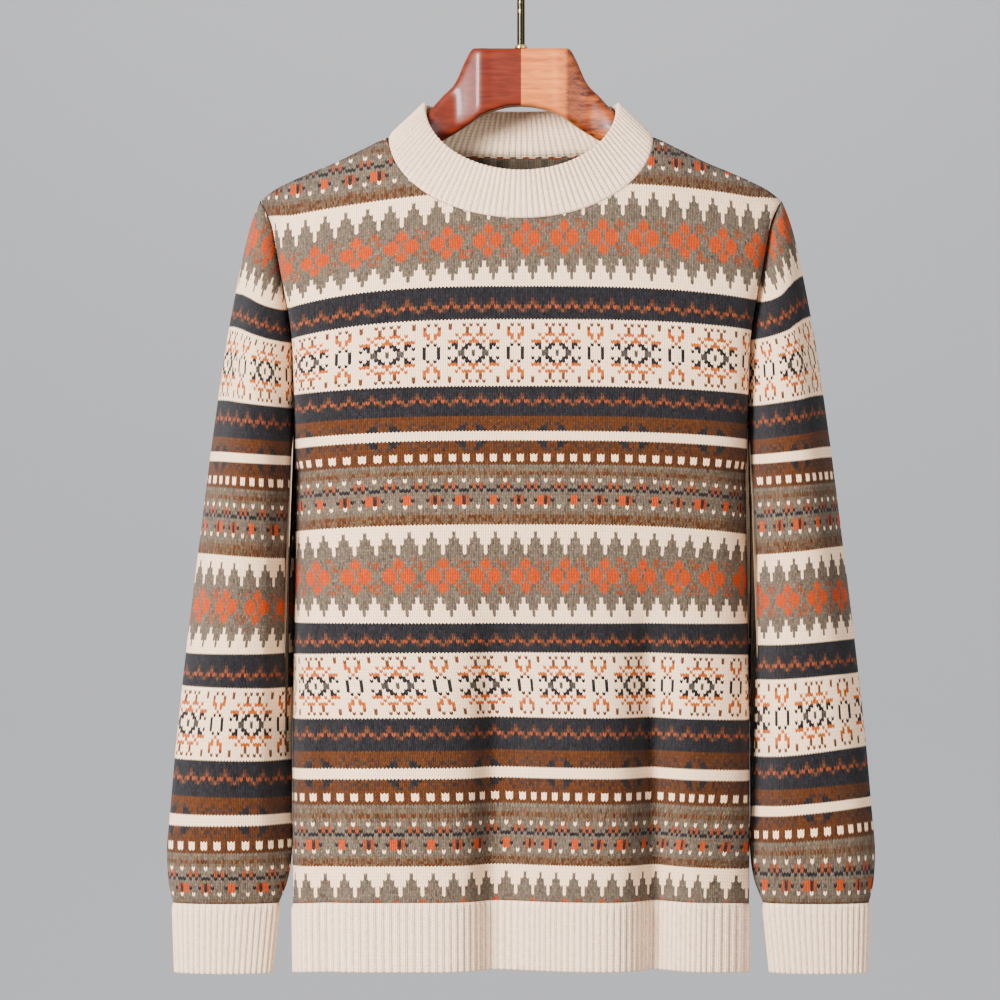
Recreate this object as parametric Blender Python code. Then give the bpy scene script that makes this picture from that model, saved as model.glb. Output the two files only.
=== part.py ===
"""A fair isle wool jumper with a rib neck band, hem and cuffs, hung on a two-piece wooden hanger.

The jumper hangs filled out, as over a shirt, from the hanger's sloping arms. +X is the viewer's right,
the front faces -Y and +Z is up. The origin is the point under the hook's bend where the rail carries it.
Lengths here are millimetres and solid() turns them into metres. A drop is a distance below the origin.
"""

import bpy
import numpy as np

MM = 0.001
SEAM_GAP = 0.3
WALL = 2.4
RIB_RISE = 1.1

# The body: where its main levels lie below the hook, and its half widths.
NECK_CORNER_DROP = 157.0
NECK_CORNER_OUT = 109.5
FRONT_NECK_DEPTH = 71.0
BACK_NECK_DEPTH = 14.0
TIP_DROP = 210.0
TIP_OUT = 216.0
UNDERARM_DROP = 435.0
ARMHOLE_HALF_DEPTH = 38.0
HEM_SEAM_DROP = 787.5
HEM_SIDE_SAG = 5.5
HEM_HEIGHT = 56.0
SECTION_POWER = 2.7
SHOULDER_ROUNDING = {-1: 150.0, 1: 110.0}

# The shoulder slope, from the middle of the neck to the tip.
SHOULDER = np.array([
    # out, drop
    (0.0, 150.0),
    (60.0, 151.5),
    (109.5, 157.0),
    (132.0, 167.5),
    (153.0, 177.8),
    (175.0, 187.0),
    (193.0, 195.0),
    (206.0, 202.0),
    (216.0, 210.0),
])

# The body's outline from the front: the armhole seam down to the underarm, then the side seam.
EDGE = np.array([
    # drop, out
    (210.0, 216.0),
    (228.0, 207.0),
    (250.0, 202.0),
    (274.0, 197.5),
    (298.0, 192.5),
    (325.0, 188.5),
    (360.0, 187.0),
    (435.0, 186.5),
    (486.0, 187.0),
    (584.0, 188.3),
    (663.0, 189.4),
    (745.0, 189.4),
    (800.0, 189.0),
])

# How far the filled body stands forward and back of the shoulder line.
DEPTH = np.array([
    # drop, front, back
    (150.0, 62.0, 56.0),
    (240.0, 76.0, 62.0),
    (330.0, 86.0, 70.0),
    (430.0, 88.0, 74.0),
    (520.0, 84.0, 76.0),
    (620.0, 76.0, 74.0),
    (700.0, 68.0, 70.0),
    (800.0, 62.0, 66.0),
])

# Soft upright troughs between the lower body's ridges, front (-1) and back (1): where each lies at the
# hem, how it leans, how deep and half as wide it is, and the drop at which it has faded out above.
TROUGHS = {
    -1: (
        # out, lean, press, half_width, top_drop
        (-8.0, 0.02, 20.0, 33.0, 520.0),
        (112.0, 0.03, 24.0, 21.0, 500.0),
        (-160.0, -0.02, 7.0, 14.0, 560.0),
    ),
    1: (
        (36.0, -0.03, 19.0, 30.0, 500.0),
        (-96.0, 0.03, 22.0, 24.0, 540.0),
        (150.0, 0.02, 8.0, 15.0, 580.0),
    ),
}

# The sleeve from the front: its outer outline, how far its inner side keeps from the body, half its
# thickness, and how far forward it swings.
SLEEVE = np.array([
    # drop, outer, clear, half_depth, forward
    (210.0, 216.3, 0.3, 2.0, 0.0),
    (217.0, 219.4, 0.3, 14.0, 0.0),
    (232.0, 224.6, 0.3, 27.0, 0.0),
    (256.0, 230.4, 0.3, 40.0, 0.0),
    (288.0, 236.9, 0.3, 52.0, 0.0),
    (322.0, 243.2, 0.3, 61.0, 0.0),
    (360.0, 249.0, 0.3, 69.0, 0.0),
    (435.0, 259.3, 0.5, 74.0, 1.0),
    (494.0, 266.6, 2.4, 68.0, 3.0),
    (580.0, 277.0, 3.2, 58.0, 6.0),
    (662.0, 285.8, 3.2, 47.0, 9.0),
    (715.0, 290.3, 3.2, 39.0, 11.0),
    (751.0, 293.0, 3.4, 33.0, 12.0),
    (775.0, 291.5, 5.8, 28.0, 12.5),
    (792.0, 287.6, 11.6, 20.0, 13.0),
])
CUFF_SEAM_DROP = 791.0
CUFF_HEIGHT = 56.5
CUFF_FOOT_OUTER = 286.0
CUFF_FOOT_INNER = 206.0
CUFF_FOOT_FLATTER = 0.85

# The neck band's upper edge, a tilted oval inside the neckline.
BAND_CORNER_DROP = 129.5
BAND_CORNER_OUT = 80.5
BAND_TOP = {
    # side: (drop, y)
    -1: (189.2, -60.0),
    1: (134.5, 33.0),
}

# Ribs on each hem and cuff, how far apart the neck's are, and the share of a band's height over which
# its ribs rise from the flat seam.
HEM_RIBS = 80
CUFF_RIBS = 40
NECK_RIB_PITCH = 4.0
RIB_START = 0.08

# The panels' rows, at the drops where their side edges have them, and their columns.
ARMHOLE_LEVELS = np.array([210.0, 211.6, 217.0, 232.0, 256.0, 288.0, 322.0, 356.0, 390.0, 416.0, 435.0])
SIDE_LEVELS = np.array([455.0, 490.0, 532.0, 576.0, 620.0, 662.0, 700.0, 736.0, 765.0, HEM_SEAM_DROP])
NECK_SPANS = 16
SHOULDER_SPANS = 8

# The rings of a sleeve: those of its cap, how fast they spread round, and the level ones below.
CAP_RINGS = 6
CAP_SPREAD = 0.4
CAP_FOOT_DROP = 456.0
SLEEVE_LEVELS = np.array([484.0, 518.0, 556.0, 596.0, 636.0, 674.0, 708.0, 738.0, 762.0, 779.0, CUFF_SEAM_DROP])

# One half of the hanger: its shaped neck, from the middle joint outwards, then its arm, whose top lies
# under the shoulder.
ARM_SEAT = 1.6
HANGER = np.array([
    # out, top_drop, foot_drop, front, back, squareness
    (0.15, 84.0, 131.5, -12.0, 12.0, 8.0),
    (12.0, 84.0, 132.6, -12.0, 12.0, 8.0),
    (24.0, 84.0, 136.0, -12.0, 12.0, 8.0),
    (35.8, 84.0, 141.3, -12.0, 12.0, 8.0),
    (40.4, 84.5, 144.5, -9.6, 12.0, 7.0),
    (46.0, 93.5, 148.5, -6.8, 12.0, 5.0),
    (54.0, 111.0, 153.5, -3.6, 12.0, 4.0),
    (65.0, 123.0, 160.0, -5.0, 12.0, 3.0),
    (80.0, 139.5, 169.0, -9.0, 11.0, 2.2),
    (95.0, 155.0, 176.0, -9.5, 10.0, 2.0),
])
ARM = np.array([
    # out, height, half_depth
    (109.5, 21.0, 9.5),
    (132.0, 20.5, 11.0),
    (160.0, 19.0, 11.0),
    (180.0, 17.0, 9.5),
    (194.0, 14.5, 7.5),
    (203.0, 10.0, 5.0),
])
WOOD_SIDES = 16
WOOD_TOP_DROP = 84.0

# The hook: radii of its wire and bend, how deep its shank sits in the wood, and the collar at its foot.
HOOK_WIRE = 3.2
HOOK_BEND = 20.0
HOOK_SIDES = 10
SHANK_DEPTH = 24.0
COLLAR_RADIUS = 5.2
COLLAR_HEIGHT = 3.3


def through(table, column, at):
    """A smooth curve through one column of a table against its first: cubic Hermite spans."""
    rows, values = table[:, 0], table[:, column]
    slope = np.gradient(values, rows)
    at = np.clip(at, rows[0], rows[-1])
    i = np.clip(np.searchsorted(rows, at, side="right") - 1, 0, len(rows) - 2)
    span = rows[i + 1] - rows[i]
    t = (at - rows[i]) / span
    start = (1 + 2 * t) * (1 - t) ** 2 * values[i] + t * (1 - t) ** 2 * span * slope[i]
    end = t ** 2 * (3 - 2 * t) * values[i + 1] - t ** 2 * (1 - t) * span * slope[i + 1]
    return start + end


def smooth_step(t):
    t = np.clip(t, 0, 1)
    return t * t * (3 - 2 * t)


def unit(vectors):
    return vectors / np.maximum(np.linalg.norm(vectors, axis=-1, keepdims=True), 1e-9)


# ---------------------------------------------------------------------------------- walls of cloth
def finish(name, colour, roughness=0.9, metallic=0.0):
    material = bpy.data.materials.new(name)
    material.use_nodes = True
    shader = material.node_tree.nodes["Principled BSDF"]
    shader.inputs["Base Color"].default_value = (*colour, 1)
    shader.inputs["Roughness"].default_value = roughness
    shader.inputs["Metallic"].default_value = metallic
    return material


def solid(name, points, faces, material):
    """One closed mesh object in metres, turned the right way out."""
    corners = np.array([points[face[i]] for face in faces for i in (0, 1, 2)]).reshape(-1, 3, 3)
    if np.linalg.det(corners - points.mean(axis=0)).sum() < 0:
        faces = [face[::-1] for face in faces]
    mesh = bpy.data.meshes.new(name)
    mesh.from_pydata((points * MM).tolist(), [], faces)
    mesh.materials.append(material)
    mesh.shade_smooth()
    mesh.set_sharp_from_angle(angle=np.radians(50))
    body = bpy.data.objects.new(name, mesh)
    bpy.context.collection.objects.link(body)
    return body


def quads(index):
    """The four corners of every cell in a grid of point numbers."""
    return np.stack((index[:-1, :-1], index[1:, :-1], index[1:, 1:], index[:-1, 1:]), -1).reshape(-1, 4)


def cloth_wall(name, outer, inner, joins, material, ring=False):
    """A closed wall between an outer grid and an inner one, which may have fewer columns.

    joins gives the outer column that each inner column backs, and the rims join the two there. A wall
    that isn't a ring has two side edges as well.
    """
    out = np.arange(outer.shape[0] * outer.shape[1]).reshape(outer.shape[:2])
    into = out.size + np.arange(inner.shape[0] * inner.shape[1]).reshape(inner.shape[:2])
    if ring:
        joins = np.append(joins, out.shape[1])
        out = np.hstack((out, out[:, :1]))
        into = np.hstack((into, into[:, :1]))
    faces = quads(out).tolist() + quads(into[:, ::-1]).tolist()
    for span in range(into.shape[1] - 1):
        beside = out[:, joins[span]:joins[span + 1] + 1]
        faces.append([*beside[0].tolist(), int(into[0, span + 1]), int(into[0, span])])
        faces.append([*beside[-1, ::-1].tolist(), int(into[-1, span]), int(into[-1, span + 1])])
    if not ring:
        faces += quads(np.stack((into[:, 0], out[:, 0]), axis=1)).tolist()
        faces += quads(np.stack((out[:, -1], into[:, -1]), axis=1)).tolist()
    return solid(name, np.concatenate((outer.reshape(-1, 3), inner.reshape(-1, 3))), faces, material)


def facing(grid, ring=False):
    """Unit normals of a grid of points whose rows run down and whose columns run across."""
    if ring:
        across = np.roll(grid, -1, axis=1) - np.roll(grid, 1, axis=1)
    else:
        across = np.gradient(grid, axis=1)
    return unit(np.cross(np.gradient(grid, axis=0), across))


def even_places(line, spans):
    """Fractional point numbers that cut a line of points into even spans."""
    length = np.concatenate(([0], np.cumsum(np.linalg.norm(np.diff(line, axis=0), axis=1))))
    return np.interp(np.linspace(0, length[-1], spans + 1), length, np.arange(len(line)))


def at_places(line, places):
    numbers = np.arange(len(line))
    return np.stack([np.interp(places, numbers, line[:, axis]) for axis in range(3)], axis=-1)


def rib_wall(name, outer_rows, inner_rows, places, joins, material, seam_row=0, ring=False):
    """A band of ribs: crests raised on every other point of the outer rows, over a plain inside.

    Each row is a line of points. All the rows are cut at the same places along their lines, and the
    ribs start from nothing at the row along the seam, which is flat.
    """
    outer = np.stack([at_places(row, places) for row in outer_rows])
    inner = np.stack([at_places(row, places[joins]) for row in inner_rows])
    crest = np.zeros(outer.shape[:2] + (1,))
    crest[:, 1::2] = RIB_RISE
    crest[seam_row] = 0
    return cloth_wall(name, outer + crest * facing(outer, ring), inner, joins, material, ring)


# ---------------------------------------------------------------------------------------- the body
def armhole_depth(drop):
    """How far the armhole seam stands off the shoulder plane: half an ellipse down to the underarm."""
    middle = (TIP_DROP + UNDERARM_DROP) / 2
    reach = (UNDERARM_DROP - TIP_DROP) / 2
    return ARMHOLE_HALF_DEPTH * np.sqrt(np.clip(1 - ((drop - middle) / reach) ** 2, 0, 1))


def into_armhole(side, drop):
    """Unit directions into the armhole's loop, square to its seam: down at the tip, up underneath."""
    middle = (TIP_DROP + UNDERARM_DROP) / 2
    reach = (UNDERARM_DROP - TIP_DROP) / 2
    upright = (drop - middle) / reach
    level = np.sqrt(np.clip(1 - upright ** 2, 0, 1))
    return unit(np.stack((0 * drop, -side * level * reach, upright * ARMHOLE_HALF_DEPTH), axis=-1))


def into_neck(points, side):
    """Unit directions into the wall at the neckline: level at front and back, down at the corners."""
    sideways = points[:, 0] / NECK_CORNER_OUT
    level = np.sqrt(np.clip(1 - sideways ** 2, 0, 1))
    return unit(np.stack((-0.4 * sideways, -side * level, -0.3 - 0.6 * sideways ** 2), axis=-1))


def bulge_at(across):
    """The superellipse's rise, from 0 at the seams to 1 in the middle."""
    return np.clip(1 - np.abs(across) ** SECTION_POWER, 0, 1) ** (1 / SECTION_POWER)


def body_point(side, across, drop):
    """A point of the front (side -1) or back (side 1), at a share of the half width and a drop.

    The section is a superellipse from seam to seam. It closes towards the shoulder line above, and the
    troughs are pressed into it below.
    """
    x = through(EDGE, 1, drop) * across
    bulge = bulge_at(across)
    below = (drop - through(SHOULDER, 1, np.abs(x))) / SHOULDER_ROUNDING[side]
    closing = np.sqrt(1 - (1 - np.clip(below, 0, 1)) ** 2)
    seam = armhole_depth(drop)
    y = seam + (through(DEPTH, 1 if side < 0 else 2, drop) * closing - seam) * bulge
    for out, lean, press, half_width, top_drop in TROUGHS[side]:
        centre = out + lean * (drop - HEM_SEAM_DROP)
        fade = smooth_step((drop - top_drop) / (HEM_SEAM_DROP - top_drop))
        y = y - press * fade * bulge * np.exp(-((x - centre) / half_width) ** 2)
    return np.stack((x, side * np.maximum(y, SEAM_GAP / 2), -drop), axis=-1)


def top_drop_at(side, x):
    """Where a panel ends above: on the neckline in the middle, on the shoulder slope beyond it."""
    depth = FRONT_NECK_DEPTH if side < 0 else BACK_NECK_DEPTH
    neckline = NECK_CORNER_DROP + depth * np.sqrt(np.clip(1 - (x / NECK_CORNER_OUT) ** 2, 0, 1))
    return np.maximum(through(SHOULDER, 1, np.abs(x)), neckline)


def panel_columns():
    """Shares of the half width: even turns round the neckline, then closing up towards the seams."""
    neck = NECK_CORNER_OUT / TIP_OUT * np.sin(np.linspace(-np.pi / 2, np.pi / 2, NECK_SPANS + 1))
    t = np.linspace(0, 1, SHOULDER_SPANS + 1)[1:]
    shoulder = neck[-1] + (1 - neck[-1]) * np.sin(t * np.pi / 2) ** 1.1
    return np.concatenate((-shoulder[::-1], neck, shoulder))


def panel_grid(side):
    """Rows from the top edge down to the hem seam, columns from the left side to the right."""
    across = panel_columns()[None, :]
    levels = np.concatenate((ARMHOLE_LEVELS, SIDE_LEVELS))[:, None]
    top = top_drop_at(side, TIP_OUT * across)
    foot = HEM_SEAM_DROP + HEM_SIDE_SAG * (1 - bulge_at(across))
    drop = top + (foot - top) * (levels - TIP_DROP) / (HEM_SEAM_DROP - TIP_DROP)
    return body_point(side, np.broadcast_to(across, drop.shape), drop)


def body_panel(side):
    """The outer and inner grids of a body panel, with its edges cut square to their seams."""
    outer = panel_grid(side)
    inner = outer + side * WALL * facing(outer)
    neck = slice(SHOULDER_SPANS, SHOULDER_SPANS + NECK_SPANS + 1)
    inner[0] = outer[0] - (0, 0, WALL)
    inner[0, neck] = outer[0, neck] + WALL * into_neck(outer[0, neck], side)
    armhole = slice(0, len(ARMHOLE_LEVELS))
    below = slice(len(ARMHOLE_LEVELS), None)
    for column, outward in ((0, -1), (-1, 1)):
        outer[armhole, column, 0] -= outward * SEAM_GAP / 2
        edge = outer[armhole, column]
        inner[armhole, column] = edge + WALL * into_armhole(side, -edge[:, 2])
        inner[below, column] = outer[below, column] - (outward * WALL, 0, 0)
    return outer, inner


def hem(name, panel, side, material):
    """The rib hem of one panel, hung from the points of the panel's lower edge."""
    outer, inner = (grid[-1] - (0, 0, SEAM_GAP) for grid in panel)
    fall = np.array([0, RIB_START, 1])
    gather = np.stack((1 - 0.004 * fall, 1 - 0.03 * fall, 0 * fall + 1), axis=-1)
    down = np.outer(fall, (0, 0, -HEM_HEIGHT))
    rows = [outer * g + d for g, d in zip(gather, down)]
    lining = [inner * g + d for g, d in zip(gather, down)]
    for row in rows + lining:
        row[[0, -1], 1] = side * SEAM_GAP / 2
    if side > 0:
        rows = [row[::-1] for row in rows]
        lining = [row[::-1] for row in lining]
    places = even_places(rows[0], 2 * HEM_RIBS)
    return rib_wall(name, rows, lining, places, np.arange(0, len(places), 4), material)


# -------------------------------------------------------------------------------------- the sleeves
def sleeve_point(around, drop):
    """A point of the right sleeve, at a share round from the outermost line (0) and a drop.

    The section is an ellipse. Beside the armhole it is cut off by the seam, so that it bends round
    from the front seam (-1) to the back seam (1); below the underarm it is closed.
    """
    seam = np.where(drop < UNDERARM_DROP, armhole_depth(drop), 0)
    half_depth = np.maximum(through(SLEEVE, 3, drop), seam + 0.5)
    turn = np.pi - np.arcsin(seam / half_depth)
    outer = through(SLEEVE, 1, drop)
    inner = through(EDGE, 1, drop) + through(SLEEVE, 2, drop) - SEAM_GAP / 2
    half_width = (outer - inner) / (1 - np.cos(turn))
    x = outer - half_width * (1 - np.cos(around * turn))
    y = half_depth * np.sin(around * turn) - through(SLEEVE, 4, drop)
    return np.stack((x, y, -drop), axis=-1)


def sleeve(outward):
    """The outer and inner rings of a sleeve (outward -1 left, 1 right).

    The first ring is the armhole's own loop, all on the seam. The cap's rings swing from it down to
    the first level ring and spread round as they go, and the sleeve's rings follow.
    """
    half = len(ARMHOLE_LEVELS) - 1
    number = np.arange(2 * half)
    front = np.where(number <= half, -1, 1)
    share = (half - np.abs(half - number)) / half
    loop_drop = np.concatenate((ARMHOLE_LEVELS, ARMHOLE_LEVELS[-2:0:-1]))
    swing = np.linspace(0, 1, CAP_RINGS + 1)[:, None]
    around = front * share ** swing ** CAP_SPREAD
    drop = loop_drop + (CAP_FOOT_DROP - loop_drop) * swing
    around = np.vstack((around, np.broadcast_to(front * share, (len(SLEEVE_LEVELS), 2 * half))))
    drop = np.vstack((drop, np.broadcast_to(SLEEVE_LEVELS[:, None], (len(SLEEVE_LEVELS), 2 * half))))
    outer = sleeve_point(around, drop)
    inner = outer + WALL * facing(outer, ring=True)
    inner[0] = outer[0] + WALL * into_armhole(front, loop_drop)
    mirror = np.array([outward, 1, 1])
    return outer * mirror, inner * mirror


def cuff(name, sleeve_grids, outward, material):
    """The rib cuff of one sleeve, gathered in from the points of the sleeve's lower edge."""
    top, top_inner = (np.vstack((grid[-1], grid[-1, :1])) - (0, 0, SEAM_GAP) for grid in sleeve_grids)
    middle = (top[:, 0].max() + top[:, 0].min()) / 2
    half = (top[:, 0].max() - top[:, 0].min()) / 2
    foot_middle = outward * (CUFF_FOOT_OUTER + CUFF_FOOT_INNER) / 2
    narrower = (CUFF_FOOT_OUTER - CUFF_FOOT_INNER) / 2 / half
    forward = top[:, 1].mean()

    def row(line, fall):
        x = middle + (foot_middle - middle) * fall + (line[:, 0] - middle) * (1 + (narrower - 1) * fall)
        y = forward + (line[:, 1] - forward) * (1 + (CUFF_FOOT_FLATTER - 1) * fall)
        return np.stack((x, y, line[:, 2] - CUFF_HEIGHT * fall), axis=-1)

    falls = (0, RIB_START, 1)
    order = slice(None, None, -outward)
    rows = [row(top, fall)[order] for fall in falls]
    lining = [row(top_inner, fall)[order] for fall in falls]
    places = even_places(rows[0], 2 * CUFF_RIBS)[:-1]
    return rib_wall(name, rows, lining, places, np.arange(0, len(places), 4), material, ring=True)


# ------------------------------------------------------------------------------------- the neck band
def neck_band(name, front, back, material):
    """A ring of rib from the neckline's points up to the tilted oval of its own upper edge."""
    neck = slice(SHOULDER_SPANS, SHOULDER_SPANS + NECK_SPANS + 1)
    rings = []
    for front_grid, back_grid in zip(front, back):
        seam = np.vstack((front_grid[0, neck], back_grid[0, neck][-2::-1]))
        seam[[0, NECK_SPANS, -1], 1] = 0
        rings.append(seam)
    seam, seam_inner = rings
    sideways = np.clip(seam[:, 0] / NECK_CORNER_OUT, -1, 1)
    level = np.sqrt(1 - sideways ** 2)
    side = np.where(np.arange(len(seam)) <= NECK_SPANS, -1, 1)
    drop = np.array([BAND_TOP[s][0] for s in side])
    y = np.array([BAND_TOP[s][1] for s in side])
    top = np.stack((BAND_CORNER_OUT * sideways, y * level,
                    -BAND_CORNER_DROP - (drop - BAND_CORNER_DROP) * level), axis=-1)
    rise = unit(top - seam)
    seam = seam + SEAM_GAP * rise
    seam_inner = seam_inner + SEAM_GAP * rise
    across = np.vstack((seam[1:2] - seam[-2:-1], seam[2:] - seam[:-2], seam[1:2] - seam[-2:-1]))
    outward = unit(np.cross(across, rise))
    start = seam + (top - seam) * 2 * RIB_START
    rows = [top, start, seam]
    lining = [top - WALL * outward, start - WALL * outward, seam_inner]
    ribs = np.round(np.linalg.norm(np.diff(top, axis=0), axis=1) / NECK_RIB_PITCH).astype(int)
    places = np.concatenate([span + np.arange(2 * n) / (2 * n) for span, n in enumerate(ribs)])
    joins = np.flatnonzero(places == np.floor(places))
    return rib_wall(name, rows, lining, places, joins, material, seam_row=-1, ring=True)


# ------------------------------------------------------------------------------- the hanger and hook
def oval(angle, power):
    """Points round a superellipse of unit half width and half height."""
    c, s = np.cos(angle), np.sin(angle)
    return np.sign(c) * np.abs(c) ** (2 / power), np.sign(s) * np.abs(s) ** (2 / power)


def hanger_half(name, outward, material):
    """Half of the hanger: sections from the middle joint through the shaped neck to the arm's end.

    The arm's sections lie at the panels' own columns, so that it follows the shoulder seam evenly.
    """
    seam = panel_columns() * TIP_OUT
    along = np.append(seam[(seam > ARM[0, 0] - 1) & (seam < ARM[-1, 0] - 2)], ARM[-1, 0])
    top = through(SHOULDER, 1, along) + WALL + ARM_SEAT
    height, half_depth = through(ARM, 1, along), through(ARM, 2, along)
    arm = np.stack((along, top, top + height, -half_depth, half_depth, 0 * along + 2), axis=-1)
    out, top_drop, foot_drop, front, back, squareness = np.vstack((HANGER, arm)).T[:, :, None]
    angle = (np.arange(WOOD_SIDES) + 0.5) * 2 * np.pi / WOOD_SIDES
    level, upright = oval(angle[None, :], squareness)
    y = (front + back) / 2 + level * (back - front) / 2
    z = -(top_drop + foot_drop) / 2 + upright * (foot_drop - top_drop) / 2
    grid = np.stack((outward * out + 0 * y, y, z), axis=-1)
    index = np.arange(grid.shape[0] * WOOD_SIDES).reshape(-1, WOOD_SIDES)
    index = np.hstack((index, index[:, :1]))
    faces = quads(index).tolist() + [index[0, :-1].tolist(), index[-1, -2::-1].tolist()]
    return solid(name, grid.reshape(-1, 3), faces, material)


def hook_path():
    """The wire's centre line: the shank, a turn to the side, and the bend over the rail."""
    centre = HOOK_WIRE - HOOK_BEND
    shank = np.array([(0, -WOOD_TOP_DROP - SHANK_DEPTH), (0, -WOOD_TOP_DROP), (0, -66), (0, -50)])
    angle = np.radians(np.linspace(-40, 205, 21))
    bend = np.stack((HOOK_BEND * np.cos(angle), centre + HOOK_BEND * np.sin(angle)), axis=-1)
    t = np.linspace(0, 1, 8)[1:-1, None]
    pull = 11.0
    leave = shank[-1] + (0, pull)
    arrive = bend[0] - pull * np.array([-np.sin(angle[0]), np.cos(angle[0])])
    turn = ((1 - t) ** 3 * shank[-1] + 3 * t * (1 - t) ** 2 * leave
            + 3 * t ** 2 * (1 - t) * arrive + t ** 3 * bend[0])
    return np.vstack((shank, turn, bend))


def hook(name, material):
    path = hook_path()
    along = unit(np.gradient(path, axis=0))
    angle = np.linspace(0, 2 * np.pi, HOOK_SIDES, endpoint=False)[None, :, None]
    square = np.stack((along[:, 1], 0 * along[:, 0], -along[:, 0]), axis=-1)[:, None, :]
    spine = np.stack((path[:, 0], 0 * path[:, 0], path[:, 1]), axis=-1)[:, None, :]
    rings = spine + HOOK_WIRE * (np.cos(angle) * square + np.sin(angle) * np.array([0, 1, 0]))
    index = np.arange(rings.shape[0] * HOOK_SIDES).reshape(-1, HOOK_SIDES)
    index = np.hstack((index, index[:, :1]))
    faces = quads(index).tolist() + [index[0, :-1].tolist(), index[-1, -2::-1].tolist()]
    return solid(name, rings.reshape(-1, 3), faces, material)


def collar(name, material, sides=20):
    """A turned brass ring standing on the wood round the shank."""
    low, high = -WOOD_TOP_DROP + SEAM_GAP, -WOOD_TOP_DROP + SEAM_GAP + COLLAR_HEIGHT
    bore = HOOK_WIRE + SEAM_GAP
    profile = np.array([(bore, high), (COLLAR_RADIUS - 0.8, high), (COLLAR_RADIUS, high - 0.8),
                        (COLLAR_RADIUS, low), (bore, low)])
    angle = np.linspace(0, 2 * np.pi, sides, endpoint=False)[:, None]
    rings = np.stack((profile[:, 0] * np.cos(angle), profile[:, 0] * np.sin(angle),
                      profile[:, 1] + 0 * angle), axis=-1)
    index = np.arange(sides * len(profile)).reshape(sides, -1)
    index = np.hstack((index, index[:, :1]))
    index = np.vstack((index, index[:1]))
    return solid(name, rings.reshape(-1, 3), quads(index).tolist(), material)


def bore_cutter():
    """The blind hole down the middle joint that takes the hook's shank."""
    radius = (HOOK_WIRE + SEAM_GAP) * MM
    deep = (SHANK_DEPTH + 2 * SEAM_GAP + 2) * MM
    bpy.ops.mesh.primitive_cylinder_add(vertices=16, radius=radius, depth=deep,
                                        location=(0, 0, (-WOOD_TOP_DROP + 2) * MM - deep / 2))
    cutter = bpy.context.object
    cutter.name = "shank_bore"
    cutter.hide_render = True
    cutter.display_type = "WIRE"
    return cutter


def build():
    for old in list(bpy.data.objects):
        bpy.data.objects.remove(old)
    patterned = finish("patterned_wool", (0.34, 0.19, 0.11))
    cream = finish("cream_rib_wool", (0.76, 0.69, 0.61))
    red_wood = finish("varnished_red_wood", (0.36, 0.09, 0.04), 0.35)
    bronze = finish("dark_bronze", (0.05, 0.045, 0.03), 0.3, 1.0)
    brass = finish("polished_brass", (0.8, 0.62, 0.3), 0.25, 1.0)

    front, back = body_panel(-1), body_panel(1)
    columns = np.arange(front[0].shape[1])
    cloth_wall("front_panel", *front, columns, patterned)
    cloth_wall("back_panel", *back, columns, patterned)
    hem("hem_rib_front", front, -1, cream)
    hem("hem_rib_back", back, 1, cream)
    neck_band("neck_rib", front, back, cream)
    for name, outward in (("left", -1), ("right", 1)):
        grids = sleeve(outward)
        cloth_wall("sleeve_" + name, *grids, np.arange(grids[0].shape[1]), patterned, ring=True)
        cuff("cuff_" + name, grids, outward, cream)

    cutter = bore_cutter()
    for name, outward in (("left", -1), ("right", 1)):
        half = hanger_half("hanger_" + name, outward, red_wood)
        bore = half.modifiers.new("shank_bore", "BOOLEAN")
        bore.operation = "DIFFERENCE"
        bore.object = cutter
    hook("hanger_hook", bronze)
    collar("hanger_collar", brass)


build()
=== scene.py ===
"""Looks for a fair isle wool jumper that hangs, filled out, on a two-piece wooden hanger.

The pieces come in the order a workshop puts them together: the hanger's two halves, its hook and
collar, then the jumper's body panels, sleeves and ribs, and last the room, its light and the camera.
Tables are in millimetres and meshes in metres. A drop is a distance below the hook's hanging point,
+X is the viewer's right and the front faces -Y.
"""

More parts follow.
